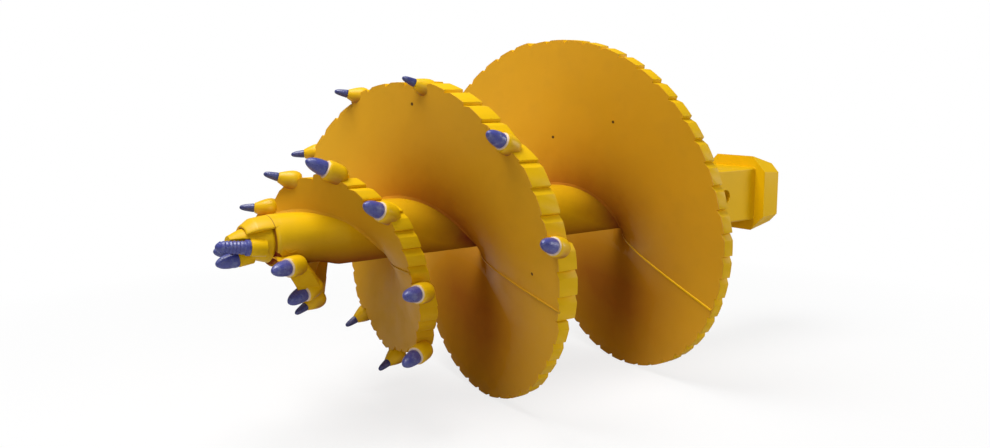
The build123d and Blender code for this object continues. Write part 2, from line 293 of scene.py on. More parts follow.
class AugerColours(bpy.types.PropertyGroup):
    """Colours that a user of the auger may change"""

    paint: FloatVectorProperty(
        name="Paint", description="Yellow gloss paint", default=(0.88, 0.52, 0.003), subtype="COLOR"
    )
    # The plate colour is the paint made darker and more orange: painted shade on the flights' faces.
    plate: FloatVectorProperty(
        name="Plate", description="The same paint on the flights, thinner and dusty", default=(0.78, 0.395, 0.015),
        subtype="COLOR",
    )
    # The shade colour is painted shade on the flights, the wear blocks and the holders' undersides, round the roots
    # and low on the far side.
    shade: FloatVectorProperty(
        name="Shade", description="Grime in the paint towards the core", default=(0.33, 0.076, 0.014),
        subtype="COLOR",
    )
    # The corner colour is painted shade, red-brown, in the core's corners and underneath it, and in the painted
    # shadow line round the nose's front.
    corner: FloatVectorProperty(
        name="Corner", description="Red-brown grime in the corners of the core", default=(0.20, 0.020, 0.014),
        subtype="COLOR",
    )
    pick: FloatVectorProperty(
        name="Pick", description="Blue paint on the picks", default=(0.062, 0.072, 0.33), subtype="COLOR"
    )
    pick_wear: FloatVectorProperty(
        name="Pick wear", description="Rubbed paint on the picks", default=(0.30, 0.34, 0.72), subtype="COLOR"
    )
    overspray: FloatVectorProperty(
        name="Overspray", description="Pale mist round a pick's seat", default=(0.82, 0.66, 0.56), subtype="COLOR"
    )
    chip: FloatVectorProperty(
        name="Chip", description="Dark specks in the paint", default=(0.060, 0.020, 0.006), subtype="COLOR"
    )
    floor: FloatVectorProperty(
        name="Floor", description="Pale floor", default=(0.55, 0.55, 0.55), subtype="COLOR"
    )


def sizes():
    return bpy.context.scene.auger_sizes


def colours():
    return bpy.context.scene.auger_colours


def place(reach, angle, radius):
    """A place on the auger."""
    turned_by = math.radians(angle)
    return Vector((reach - sizes().pin_reach, -radius * math.sin(turned_by), radius * math.cos(turned_by)))


def flight_reach(flight, angle):
    """The reach of the front face of a flight, from the pitch of each stretch of it."""
    reach = START_REACH
    begin, pitch = CLIMBS[flight][0]
    for next_begin, next_pitch in CLIMBS[flight][1:]:
        if angle > next_begin:
            reach += pitch * (next_begin - begin) / FULL_TURN
            begin, pitch = next_begin, next_pitch
    return reach + pitch * (angle - begin) / FULL_TURN


def rim_radius(flight, angle):
    """The radius of a flight's rim, which creeps out and then steps up at each tooth."""
    steps = STEP_SHARES[flight]
    share = steps[-1][1]
    for (begin, low), (end, high) in zip(steps, steps[1:]):
        if begin <= angle < end:
            share = low + (high - low) * CREEP_SHARE * (angle - begin) / (end - begin)
            break
    return sizes().nose_radius + share * (sizes().flight_radius - sizes().nose_radius)


def core_radius(reach):
    """The radius of the core at a reach."""
    along = (reach - sizes().cone_start) / (sizes().cone_end - sizes().cone_start)
    along = min(max(along, 0.0), 1.0)
    return sizes().nose_radius + (sizes().tube_radius - sizes().nose_radius) * along


def block_angles(section):
    """The angles where the wear blocks of a rim begin, spaced by about one length along it."""
    angles = [section.first]
    while angles[-1] < section.last:
        angles.append(angles[-1] + math.degrees(section.block_length / rim_radius(section.flight, angles[-1])))
    spread = (section.last - section.first) / (angles[-1] - section.first)
    return [section.first + (angle - section.first) * spread for angle in angles]


def block_radius(flight, begin, end, angle):
    """The rim's radius along one wear block, on a straight line from end to end of it."""
    low, high = (rim_radius(flight, begin + (end - begin) * share) for share in LEVEL_SHARES)
    return low + (high - low) * (angle - begin) / (end - begin)


def notched_rim(section):
    """The angles and radii of a flight's edge, with a notch where each wear block begins."""
    flight, angles, notch = section.flight, block_angles(section), sizes().block_notch
    rows = []
    for begin, end in zip(angles, angles[1:]):
        turn = end - begin
        radius = (rim_radius(flight, begin) + rim_radius(flight, end)) / 2
        rise = min(math.degrees(sizes().block_rise / radius), turn * RISE_SHARE)
        fall = min(math.degrees(sizes().block_fall / radius), turn * FALL_SHARE)
        flats = max(1, math.ceil((turn - rise - fall) / BEND_STEP))
        rows.append((begin + NOTCH_GAP, block_radius(flight, begin, end, begin) - notch))
        for flat in range(flats + 1):
            angle = begin + rise + (turn - rise - fall) * flat / flats
            rows.append((angle, block_radius(flight, begin, end, angle)))
        rows.append((end - NOTCH_GAP, block_radius(flight, begin, end, end) - notch))
    return rows


def piece(name, mesh_in, material, body="auger", replaced=(), smooth=35.0):
    """A finished piece from a bmesh: shaded, given its material and set to ride on a body."""
    mesh = bpy.data.meshes.new(name)
    mesh_in.to_mesh(mesh)
    mesh_in.free()
    made = bpy.data.objects.new(name, mesh)
    bpy.context.scene.collection.objects.link(made)
    made.data.materials.append(material)
    mesh.shade_smooth()
    mesh.set_sharp_from_angle(angle=math.radians(smooth))
    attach(made, body)
    if replaced:
        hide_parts(*replaced)
    return made


def add_shape(row, single):
    """Adds one shape to a row of like shapes."""
    mesh = bpy.data.meshes.new("single")
    single.to_mesh(mesh)
    single.free()
    row.from_mesh(mesh)
    bpy.data.meshes.remove(mesh)


def face_outwards(mesh):
    """Turns the faces of a shape outwards, by normals that are fresh after its vertices moved."""
    mesh.normal_update()
    bmesh.ops.recalc_face_normals(mesh, faces=mesh.faces)


def close_up(mesh):
    """Fills the open ends of a shape and turns its faces outwards."""
    bmesh.ops.holes_fill(mesh, edges=[edge for edge in mesh.edges if edge.is_boundary], sides=0)
    face_outwards(mesh)


def cut_across(mesh, point, normal):
    """Cuts a shape across at a place and keeps both sides."""
    bmesh.ops.bisect_plane(
        mesh, geom=mesh.verts[:] + mesh.edges[:] + mesh.faces[:], dist=1e-6, plane_co=point, plane_no=normal
    )


def bevelled(mesh, edges, rounding, segments):
    """Rounds some edges of a shape."""
    bmesh.ops.bevel(
        mesh, geom=edges, offset=rounding, offset_type="OFFSET", affect="EDGES", segments=segments, profile=0.5,
        material=-1, clamp_overlap=True,
    )


def sharper(mesh, angle):
    """The edges of a shape that are sharper than an angle, in degrees."""
    return [edge for edge in mesh.edges if edge.calc_face_angle(0.0) > math.radians(angle)]


def spun(mesh, chain, cover, steps, climb=0.0, merge=False):
    """Spins a chain of edges about the auger's axis."""
    bmesh.ops.spin(
        mesh, geom=chain, cent=ORIGIN, axis=AXIS, dvec=(climb, 0, 0), angle=cover, steps=steps,
        use_merge=merge, use_normal_flip=False, use_duplicate=False,
    )


def turned(rows, steps, centre=ORIGIN, direction=AXIS, tag=None):
    """A shape turned about an axis from rows of distance along it and radius."""
    mesh = bmesh.new()
    layer = mesh.verts.layers.float.new(tag) if tag else None
    chain = []
    for along, radius in rows:
        vert = mesh.verts.new((along, 0, radius))
        if layer:
            vert[layer] = along
        chain.append(vert)
    edges = [mesh.edges.new(pair) for pair in zip(chain, chain[1:])]
    spun(mesh, chain + edges, math.tau, steps, merge=True)
    bmesh.ops.remove_doubles(mesh, verts=mesh.verts, dist=1e-6)
    close_up(mesh)
    turn = AXIS.rotation_difference(direction).to_matrix().to_4x4()
    bmesh.ops.transform(mesh, matrix=Matrix.Translation(centre) @ turn, verts=mesh.verts)
    return mesh


def swept(section, outline):
    """A shape swept along a flight. Each corner of its outline is an offset from the front
    face, a share of the way from core to rim, and an offset of its radius."""
    stations = notched_rim(section)
    steps = len(stations) - 1
    mesh = bmesh.new()
    back, share, out = (mesh.verts.layers.float.new(name) for name in ("back", "share", "out"))
    chain = []
    # The outline is first drawn roughly, and each vertex is put in its place after the spin.
    for offset, way, more in outline:
        vert = mesh.verts.new((0, 0, 0.1 + way * 0.3 + more))
        vert[back], vert[share], vert[out] = offset, way, more
        chain.append(vert)
    edges = [mesh.edges.new(pair) for pair in zip(chain, chain[1:] + chain[:1])]
    # The spin makes the faces. It climbs by a fixed amount a step, which tells each vertex's station.
    climb = 0.010
    spun(mesh, chain + edges, math.radians(section.last - section.first), steps, climb)
    for vert in mesh.verts:
        angle, rim = stations[min(max(round(vert.co.x / climb), 0), steps)]
        reach = flight_reach(section.flight, angle) + vert[back]
        core = core_radius(reach)
        vert.co = place(reach, angle, core + vert[share] * (rim - core) + vert[out])
    close_up(mesh)
    return mesh


def refined(node, rounding, segments=2, sharp=25.0):
    """A copy of a CAD node with its flat faces joined up and its edges rounded."""
    mesh = bmesh.new()
    mesh.from_mesh(frame["nodes"][node].data)
    bmesh.ops.remove_doubles(mesh, verts=mesh.verts, dist=2e-5)
    bmesh.ops.dissolve_limit(
        mesh, angle_limit=math.radians(1.0), use_dissolve_boundaries=False, verts=mesh.verts, edges=mesh.edges,
        delimit=set(),
    )
    face_outwards(mesh)
    bevelled(mesh, [edge for edge in sharper(mesh, sharp) if len(edge.link_faces) == 2], rounding, segments)
    face_outwards(mesh)
    return mesh


def bar(depth, width, cuts):
    """A rounded bar of length 1 along Z, cut across so that it can be bent."""
    mesh = bmesh.new()
    bmesh.ops.create_cube(mesh, size=1.0)
    bmesh.ops.scale(mesh, vec=(depth, width, 1.0), verts=mesh.verts)
    long_edges = [edge for edge in mesh.edges if abs(edge.verts[0].co.z - edge.verts[1].co.z) > 0.5]
    bevelled(mesh, long_edges, min(depth, width) * 0.45, segments=4)
    for number in range(1, cuts):
        cut_across(mesh, (0, 0, number / cuts - 0.5), (0, 0, 1))
    return mesh


class NodeKit:
    """The nodes of a material or a world, and the few kinds of them that the auger uses"""

    # Sockets of a mix node that hold its two colours and its result
    MIX_COLOURS = (6, 7)
    MIX_RESULT = 2

    def __init__(self, owner):
        owner.use_nodes = True
        self.nodes, self.links = owner.node_tree.nodes, owner.node_tree.links
        self.nodes.clear()

    def link(self, value, socket):
        """Links another node's socket to this one, or gives this one a plain value."""
        if isinstance(value, bpy.types.NodeSocket):
            self.links.new(value, socket)
        else:
            socket.default_value = value

    def coordinates(self):
        return self.nodes.new("ShaderNodeTexCoord").outputs["Object"]

    def attribute(self, name):
        made = self.nodes.new("ShaderNodeAttribute")
        made.attribute_name = name
        return made.outputs["Fac"]

    def split(self, vector):
        """The three parts of a place, by the names X, Y and Z."""
        made = self.nodes.new("ShaderNodeSeparateXYZ")
        self.link(vector, made.inputs["Vector"])
        return made.outputs

    def noise(self, coordinates, scale, detail=4.0, rough=0.55):
        """A noise texture in metres."""
        made = self.nodes.new("ShaderNodeTexNoise")
        for name, value in (("Vector", coordinates), ("Scale", scale), ("Detail", detail), ("Roughness", rough)):
            self.link(value, made.inputs[name])
        return made.outputs["Fac"]

    def ramp(self, value, low, high, first=0.0, last=1.0):
        """A value spread between two limits."""
        made = self.nodes.new("ShaderNodeMapRange")
        limits = {"Value": value, "From Min": low, "From Max": high, "To Min": first, "To Max": last}
        for name, limit in limits.items():
            self.link(limit, made.inputs[name])
        return made.outputs["Result"]

    def maths(self, kind, *values):
        """One sum of a single value, or carried on through several."""
        total = values[0]
        for value in values[1:] or (0.0,):
            made = self.nodes.new("ShaderNodeMath")
            made.operation = kind
            self.link(total, made.inputs[0])
            self.link(value, made.inputs[1])
            total = made.outputs["Value"]
        return total

    def distance(self, coordinates, point):
        """How far each place lies from a point."""
        made = self.nodes.new("ShaderNodeVectorMath")
        made.operation = "DISTANCE"
        self.link(coordinates, made.inputs[0])
        self.link(point, made.inputs[1])
        return made.outputs["Value"]

    def blended(self, fraction, first, second):
        """A mix of two colours."""
        made = self.nodes.new("ShaderNodeMix")
        made.data_type = "RGBA"
        self.link(fraction, made.inputs[0])
        for number, colour in zip(self.MIX_COLOURS, (first, second)):
            self.link(colour if isinstance(colour, bpy.types.NodeSocket) else (*colour, 1.0), made.inputs[number])
        return made.outputs[self.MIX_RESULT]

    def bumped(self, shader, height, distance, strength):
        """Raises the surface by a height pattern."""
        made = self.nodes.new("ShaderNodeBump")
        for name, value in (("Distance", distance), ("Strength", strength), ("Height", height)):
            self.link(value, made.inputs[name])
        self.link(made.outputs["Normal"], shader.inputs["Normal"])


# Painted shade on the flights, in a darker, redder paint where the other turns and the core shadow the plates. Each
# pair gives the two places, in metres, between which it changes. The root shade lies round the core, and the low
# shade low down and more on the far side.
ROOT_RADII = (0.09, 0.36)
ROOT_HEIGHTS = (0.30, 0.0)
ROOT_LENGTHS = (-1.72, -1.35)
LOW_HEIGHTS = (-0.02, -0.30)
LOW_SIDES = (-0.46, -0.06)
LOW_RADII = (0.40, 0.62)

# Painted shade on the core, in a red-brown paint where the plates shadow the tube: the mean climb of a turn of
# flight a, the shift in turns that ends the shade at that flight's front face, the part of a turn over which it
# deepens, and the heights between which it changes. The belly shade is painted underneath, and changes between these
# heights and lengths.
CORNER_CLIMB = 0.655
CORNER_SHIFT = (0.45, 0.49)
CORNER_PART = (0.50, 0.97)
CORNER_HEIGHTS = (0.085, -0.04)
BELLY_HEIGHTS = (0.030, -0.075)
BELLY_LENGTHS = (-1.88, -1.76)
BELLY_FADE = (-1.40, -1.55)

# Where the painted shadow line round the nose's front lies, in the gap behind the pilot bit, and between which
# distances it fades, a dark speck fades, and the pale mist at a pick's seat comes in
LINE_REACH = NOSE_ROWS[0][0] + 0.0005
LINE_WIDTHS = (0.0004, 0.0018)
SPECK_RADII = (0.0035, 0.0060)
MIST_DEPTHS = (-0.0038, -0.0012)

# The middle part of a noise texture's values
UNEVEN = (0.3, 0.7)


def new_material(name):
    """A node material with its shader joined to its output, ready for links."""
    material = bpy.data.materials.new(name)
    kit = NodeKit(material)
    shader = kit.nodes.new("ShaderNodeBsdfPrincipled")
    kit.link(shader.outputs["BSDF"], kit.nodes.new("ShaderNodeOutputMaterial").inputs["Surface"])
    return material, kit, shader


def toned(colour, factor):
    """A colour made lighter or darker."""
    return tuple(min(part * factor, 1.0) for part in colour)


def flight_painted_shade(kit, coordinates, uneven, root, low):
    """How much painted shade darkens a flight: most at its root, and on the far side low down, where the other turns
    shadow it.
    """
    split = kit.split(coordinates)
    across = kit.nodes.new("ShaderNodeCombineXYZ")
    kit.link(split["Y"], across.inputs["Y"])
    kit.link(split["Z"], across.inputs["Z"])
    radius = kit.distance(across.outputs["Vector"], ORIGIN)
    radius = kit.maths("ADD", radius, kit.ramp(uneven, *UNEVEN, -0.02, 0.02))
    near = kit.maths(
        "MULTIPLY", kit.maths("POWER", kit.ramp(radius, *ROOT_RADII, 1.0, 0.0), 1.6),
        kit.ramp(split["Z"], *ROOT_HEIGHTS, 0.5, 1.0), kit.ramp(split["X"], *ROOT_LENGTHS, 0.3, 1.0), root,
    )
    far = kit.maths(
        "MULTIPLY", kit.ramp(split["Z"], *LOW_HEIGHTS), kit.ramp(split["Y"], *LOW_SIDES),
        kit.ramp(radius, *LOW_RADII, 1.0, 0.45), low,
    )
    return kit.maths("MAXIMUM", near, far)


def core_painted_shade(kit, coordinates, uneven, strength):
    """Painted shade on the core that deepens towards the front of each turn of flight a, where the plate shadows the
    tube, and underneath.
    """
    split = kit.split(coordinates)
    turned_by = kit.maths("ARCTAN2", kit.maths("MULTIPLY", split["Y"], -1.0), split["Z"])
    along = kit.maths("ADD", split["X"], sizes().pin_reach - START_REACH)
    turns = kit.maths("SUBTRACT", kit.maths("DIVIDE", along, CORNER_CLIMB), kit.maths("DIVIDE", turned_by, math.tau))
    # Four whole turns keep the sum above zero.
    turns = kit.maths("ADD", turns, kit.ramp(uneven, *UNEVEN, *CORNER_SHIFT), 4.0)
    deep = kit.maths("POWER", kit.ramp(kit.maths("FRACT", turns), *CORNER_PART), 1.3)
    near = kit.maths("MULTIPLY", deep, kit.ramp(split["Z"], *CORNER_HEIGHTS, 0.35, 1.0), strength)
    belly = kit.maths(
        "MULTIPLY", kit.ramp(split["Z"], *BELLY_HEIGHTS, 0.0, 0.85), kit.ramp(split["X"], *BELLY_LENGTHS),
        kit.ramp(split["X"], *BELLY_FADE, 0.8, 1.0),
    )
    return kit.maths("MAXIMUM", belly, near)


def with_painted_shadow_line(kit, coordinates, colour):
    """A painted shadow: the thin dark line round the front of the nose, in the gap behind the pilot bit."""
    apart = kit.maths("ADD", kit.split(coordinates)["X"], sizes().pin_reach - LINE_REACH)
    dark = kit.ramp(kit.maths("ABSOLUTE", apart), *LINE_WIDTHS, 0.75, 0.0)
    return kit.blended(dark, colour, tuple(colours().corner))


def with_specks(kit, coordinates, colour):
    """The dark specks."""
    marks = [kit.ramp(kit.distance(coordinates, speck), *SPECK_RADII, 1.0, 0.0) for speck in SPECKS]
    return kit.blended(kit.maths("MAXIMUM", *marks), colour, tuple(colours().chip))


def with_ring(kit, uneven, colour):
    """Painted shade on a holder's underside, and the pale mist round its seat."""
    edge = kit.maths("ADD", kit.attribute("from_seat"), kit.ramp(uneven, *UNEVEN, -0.001, 0.001))
    dark = kit.ramp(kit.attribute("under"), 0.10, 1.2, 0.0, 0.85)
    colour = kit.blended(dark, colour, tuple(colours().shade))
    return kit.blended(kit.ramp(edge, *MIST_DEPTHS, 0.0, 0.90), colour, tuple(colours().overspray))


def paint_material(
    name, base, root=0.0, low=0.0, corner=0.0, line=False, speck=False, ring=False, gloss=0.36, shine=0.28
):
    """Yellow gloss paint over welded steel, with uneven cover, rubbed patches and, where asked, painted shade."""
    material, kit, shader = new_material(name)
    coordinates = kit.coordinates()
    broad = kit.noise(coordinates, 2.3, 3.0)
    middle = kit.noise(coordinates, 14.0, 5.0)
    fine = kit.noise(coordinates, 160.0, 4.0)
    colour = kit.blended(kit.ramp(broad, 0.35, 0.68), base, toned(base, 0.92))
    colour = kit.blended(kit.ramp(middle, 0.52, 0.78, 0.0, 0.30), colour, toned(base, 0.82))
    specular = shine
    # Painted shade: a darker paint round the flights' roots and low on the far side, or in the core's corners and
    # underneath, with less specular where it lies.
    if root or low or corner:
        if corner:
            painted_shade_amount, painted_shade_colour = core_painted_shade(kit, coordinates, middle, corner), colours().corner
        else:
            painted_shade_amount, painted_shade_colour = flight_painted_shade(kit, coordinates, middle, root, low), colours().shade
        colour = kit.blended(painted_shade_amount, colour, tuple(painted_shade_colour))
        specular = kit.ramp(painted_shade_amount, 0.0, 0.45, shine, 0.0)
    if line:
        colour = with_painted_shadow_line(kit, coordinates, colour)
    if speck:
        colour = with_specks(kit, coordinates, colour)
    if ring:
        colour = with_ring(kit, middle, colour)
    kit.link(colour, shader.inputs["Base Color"])
    kit.link(kit.ramp(middle, 0.3, 0.8, gloss - 0.06, gloss + 0.14), shader.inputs["Roughness"])
    kit.link(specular, shader.inputs["Specular IOR Level"])
    kit.bumped(shader, kit.maths("ADD", kit.maths("MULTIPLY", fine, 0.25), middle), 0.0014, 0.5)
    return material


def pick_material(name, dark=1.0):
    """Blue paint on a forged pick, rubbed lighter in patches, with a rough forged skin."""
    material, kit, shader = new_material(name)
    coordinates = kit.coordinates()
    coarse = kit.noise(coordinates, 60.0, 5.0, 0.65)
    fine = kit.noise(coordinates, 320.0, 4.0)
    base = toned(tuple(colours().pick), dark)
    colour = kit.blended(kit.ramp(coarse, 0.45, 0.70), base, toned(base, 0.5))
    rubbed = kit.ramp(kit.noise(coordinates, 60.0, 6.0, 0.6), 0.50, 0.70, 0.0, 0.45 * dark)
    colour = kit.blended(rubbed, colour, tuple(colours().pick_wear))
    kit.link(colour, shader.inputs["Base Color"])
    kit.link(kit.ramp(fine, *UNEVEN, 0.24, 0.40), shader.inputs["Roughness"])
    shader.inputs["Specular IOR Level"].default_value = 0.8
    kit.bumped(shader, kit.maths("ADD", coarse, kit.maths("MULTIPLY", fine, 0.3)), 0.0022, 0.7)
    return material


def dressed(name, builder, *values, **options):
    """A material made once and used again."""
    return bpy.data.materials.get(name) or builder(name, *values, **options)


def plain_paint():
    return dressed("yellow_paint_plain", paint_material, tuple(colours().paint), shine=0.14)


# The core carries painted shade in its corners and underneath, and a painted shadow line round the nose.
def core_paint():
    return dressed("yellow_paint_core", paint_material, tuple(colours().paint), corner=0.95, line=True, gloss=0.32)


# The seams' paint is the plate colour made darker: painted shade along the seams.
def shaded_seam_paint():
    return dressed("yellow_paint_seam", paint_material, toned(colours().plate, 0.80), gloss=0.40, shine=0.12)


# The wear blocks carry the low painted shade, darker low down on the far side.
def block_paint():
    return dressed("yellow_paint_block", paint_material, tuple(colours().paint), low=0.6, gloss=0.42, shine=0.12)


# Flight a carries strong painted shade at its root and low on the far side, flight b only a little.
def flight_paint(flight):
    root, low, shine = (0.80, 0.75, 0.28) if flight == "a" else (0.35, 0.10, 0.08)
    return dressed(
        "yellow_paint_flight_" + flight, paint_material, tuple(colours().plate), root=root, low=low, speck=True,
        gloss=0.40, shine=shine,
    )


def seat_paint():
    return dressed("yellow_paint_seat", paint_material, tuple(colours().paint), ring=True)


def pick_paint():
    return dressed("blue_pick_paint", pick_material)


def slim_pick_paint():
    return dressed("blue_slim_pick_paint", pick_material, dark=0.65)


class AUGER_OT_core(bpy.types.Operator):
    """Turns the nose with its lug and its curved weld, and the core tube"""

    bl_idname = "auger.core"
    bl_label = "Core"

    def execute(self, context):
        steps, offset = sizes().turn_steps, Vector((-sizes().pin_reach, 0, 0))
        piece("nose_turned", turned(NOSE_ROWS, steps, offset), core_paint(), replaced=("nose",))
        piece("core_tube_turned", turned(TUBE_ROWS, steps, offset), core_paint(), replaced=("core_tube",))
        piece("nose_lug", self.lug(offset), core_paint(), replaced=("nose",), smooth=50.0)
        piece("nose_weld", self.crescent(), core_paint(), smooth=60.0)
        return {"FINISHED"}

    def lug(self, offset):
        """The lug that stands forward of the nose over a third of its turn."""
        mesh = bmesh.new()
        chain = [mesh.verts.new((reach, 0, radius)) for reach, radius in LUG_OUTLINE]
        edges = [mesh.edges.new(pair) for pair in zip(chain, chain[1:] + chain[:1])]
        turn = Matrix.Rotation(math.radians(LUG_START), 3, "X")
        bmesh.ops.rotate(mesh, cent=ORIGIN, matrix=turn, verts=mesh.verts)
        spun(mesh, chain + edges, math.radians(LUG_COVER), LUG_STEPS)
        close_up(mesh)
        bevelled(mesh, sharper(mesh, angle=12), LUG_ROUNDING, segments=5)
        bmesh.ops.translate(mesh, vec=offset, verts=mesh.verts)
        return mesh

    def crescent(self):
        """The short curved weld on the near side of the nose, thin at both ends."""
        mesh = bar(CRESCENT_DEPTH, CRESCENT_WIDTH, cuts=16)
        for vert in mesh.verts:
            along = vert.co.z * 2
            thin = math.sqrt(max(1.0 - along * along, 0.02))
            reach = CRESCENT_REACH + CRESCENT_HALF * along + vert.co.y * thin * CRESCENT_ALONG
            angle = CRESCENT_ANGLE + CRESCENT_LEAN * along - CRESCENT_BOW * along * along
            vert.co = place(reach, angle + vert.co.y * thin * CRESCENT_ROUND, CRESCENT_RADIUS + vert.co.x * thin)
        face_outwards(mesh)
        return mesh


class AUGER_OT_flights(bpy.types.Operator):
    """Sweeps the plate of each section of the flights"""

    bl_idname = "auger.flights"
    bl_label = "Flights"

    def execute(self, context):
        front = [(0.0, way, PLATE_EDGES.get(way, 0.0)) for way in PLATE_STOPS]
        back = [(sizes().plate, way, more) for offset, way, more in reversed(front)]
        for section in FLIGHT_SECTIONS:
            mesh = swept(section, front + back)
            piece(section.name + "_plate", mesh, flight_paint(section.flight), replaced=(section.name,))
        return {"FINISHED"}


class AUGER_OT_wear_blocks(bpy.types.Operator):
    """Sets the row of wear blocks along each section's rim"""

    bl_idname = "auger.wear_blocks"
    bl_label = "Wear blocks"

    def execute(self, context):
        for section in FLIGHT_SECTIONS:
            angles = block_angles(section)
            row = bmesh.new()
            for begin, end in zip(angles, angles[1:]):
                add_shape(row, self.block(section, begin, end))
            face_outwards(row)
            piece(section.name + "_blocks", row, block_paint(), replaced=(section.name,), smooth=22.0)
        return {"FINISHED"}

    def block(self, section, begin, end):
        """One wear block, sloped at both ends and bevelled, then bent along its place on the rim."""
        flight, width, height = section.flight, section.block_width, sizes().block_height
        turn = end - begin
        length = math.radians(turn) * rim_radius(flight, (begin + end) / 2)
        rise = min(sizes().block_rise, length * RISE_SHARE)
        fall = min(sizes().block_fall, length * FALL_SHARE)
        mesh = bmesh.new()
        bmesh.ops.create_cube(mesh, size=1.0)
        bmesh.ops.scale(mesh, vec=(width - SIDE_GAP * 2, length, height), verts=mesh.verts)
        for along in (rise - length / 2, length / 2 - fall):
            cut_across(mesh, (0, along, 0), (0, 1, 0))
        # Both ends go down by the notch's depth.
        for vert in mesh.verts:
            if vert.co.z > 0 and abs(vert.co.y) > length * 0.499:
                vert.co.z -= sizes().block_notch
        bends = max(2, round(turn / BEND_STEP))
        for number in range(1, bends):
            along = (rise - fall) / 2 + (number / bends - 0.5) * (length - rise - fall)
            cut_across(mesh, (0, along, 0), (0, 1, 0))
        # The vertices have moved, and the angles between faces are read from fresh normals.
        mesh.normal_update()
        bevelled(mesh, sharper(mesh, angle=5), sizes().block_edge, segments=2)
        for vert in mesh.verts:
            angle = begin + turn * (vert.co.y / length + 0.5)
            radius = block_radius(flight, begin, end, angle) + vert.co.z - height / 2
            vert.co = place(flight_reach(flight, angle) + vert.co.x + width / 2 + SIDE_GAP, angle, radius)
        return mesh


class AUGER_OT_welds(bpy.types.Operator):
    """Runs the welds at the flights' roots and along the seams between their plates"""

    bl_idname = "auger.welds"
    bl_label = "Welds"

    def execute(self, context):
        leg, plate, hollow = sizes().weld, sizes().plate, sizes().weld * WELD_HOLLOW
        front = (
            (PLATE_BITE, 0.0, -CORE_BITE), (PLATE_BITE, 0.0, leg), (-hollow, 0.0, hollow), (-leg, 0.0, -CORE_BITE),
        )
        back = (
            (plate - PLATE_BITE, 0.0, -CORE_BITE), (plate + leg, 0.0, -CORE_BITE), (plate + hollow, 0.0, hollow),
            (plate - PLATE_BITE, 0.0, leg),
        )
        for section in FLIGHT_SECTIONS:
            for side, outline in (("front", front), ("back", back)):
                mesh = swept(section, outline)
                piece(section.name + "_weld_" + side, mesh, flight_paint(section.flight), smooth=60.0)
        for seam in SEAMS:
            # The seam on the last turn takes the bright paint as a painted highlight on its lit edge, the others the
            # darker seam paint as painted shade.
            paint = plain_paint() if seam.name == "seam_a_main" else shaded_seam_paint()
            piece(seam.name, self.bead(seam), paint, smooth=60.0)
        return {"FINISHED"}

    def bead(self, seam):
        """A straight bead on a flight's front face, tangent to the core."""
        tangent = sizes().tube_radius
        mesh = bar(sizes().seam_height * 2, sizes().seam_width, cuts=30)
        for vert in mesh.verts:
            radius = seam.inner + (seam.outer - seam.inner) * (vert.co.z + 0.5)
            lean = math.asin(tangent / radius) - math.asin(tangent / seam.outer) + vert.co.y / radius
            angle = seam.angle + math.degrees(lean)
            vert.co = place(flight_reach(seam.flight, angle) - vert.co.x, angle, radius)
        face_outwards(mesh)
        return mesh


def pick_places():
    """Each pick's name and kind, the centre of its seat and the way it points, from its joint."""
    for joint in frame["record"]["behaviour"]["joints"]:
        tooth = joint["child"].removeprefix("pick_")
        kind = "slim" if tooth in SLIM_TEETH else "full"
        if tooth.startswith("pilot"):
            kind = "long" if tooth == "pilot_1" else "short"
        yield joint["child"], kind, Vector(joint["pos_m"]), Vector(joint["axis"]).normalized()


class AUGER_OT_holders(bpy.types.Operator):
    """Turns the weld-on holder of each pick, with its pale ring at the seat"""

    bl_idname = "auger.holders"
    bl_label = "Holders"

    def execute(self, context):
        for flight in "ab":
            row = bmesh.new()
            row.verts.layers.float.new("from_seat")
            row.verts.layers.float.new("under")
            for name, kind, centre, direction in pick_places():
                if name.startswith("pick_" + flight + "_"):
                    holder = turned(HOLDER_ROWS[kind], sizes().pick_steps, centre, direction, tag="from_seat")
                    self.shade(holder, kind, centre, direction)
                    add_shape(row, holder)
            node = "pick_holders_" + flight
            piece(node + "_turned", row, seat_paint(), replaced=(node,), smooth=40.0)
        return {"FINISHED"}

    def shade(self, holder, kind, centre, direction):
        """Marks how far each place of a holder lies on its underside, for the painted shade there, and sinks a slim
        one's ring.
        """
        seat = holder.verts.layers.float["from_seat"]
        under = holder.verts.layers.float.new("under")
        for vert in holder.verts:
            along = (vert.co - centre).dot(direction)
            across = vert.co - centre - direction * along
            down = -across.z / max(across.length, 0.001)
            deep = min(max((-along - UNDER_START) / UNDER_SPREAD, 0.0), 1.0)
            vert[under] = max(down + UNDER_FLANK, 0.0) * deep
            if kind == "slim":
                vert[seat] -= RING_SUNK


class AUGER_OT_picks(bpy.types.Operator):
    """Turns each pick about the axis that it spins on"""

    bl_idname = "auger.picks"
    bl_label = "Picks"

    def execute(self, context):
        for name, kind, centre, direction in pick_places():
            shank = SHANK_RADII[kind]
            rows = ((SHANK_START, 0.0), (SHANK_START, shank), (SHANK_END, shank)) + PICK_ROWS[kind]
            mesh = turned(rows, sizes().pick_steps, centre, direction)
            paint = slim_pick_paint() if kind == "slim" else pick_paint()
            piece(name + "_turned", mesh, paint, body=name, replaced=(name,))
        return {"FINISHED"}


class AUGER_OT_pilot_bit(bpy.types.Operator):
    """Rounds the edges of the pilot bit"""

    bl_idname = "auger.pilot_bit"
    bl_label = "Pilot bit"

    def execute(self, context):
        mesh = refined("pilot_bit", sizes().bit_edge)
        piece("pilot_bit_body", mesh, plain_paint(), replaced=("pilot_bit",))
        return {"FINISHED"}


class AUGER_OT_kelly_box(bpy.types.Operator):
    """Rounds the edges of the kelly box"""

    bl_idname = "auger.kelly_box"
    bl_label = "Kelly box"

    def execute(self, context):
        mesh = refined("kelly_box", sizes().box_edge, segments=4)
        piece("kelly_box_body", mesh, plain_paint(), replaced=("kelly_box",), smooth=8.0)
        return {"FINISHED"}


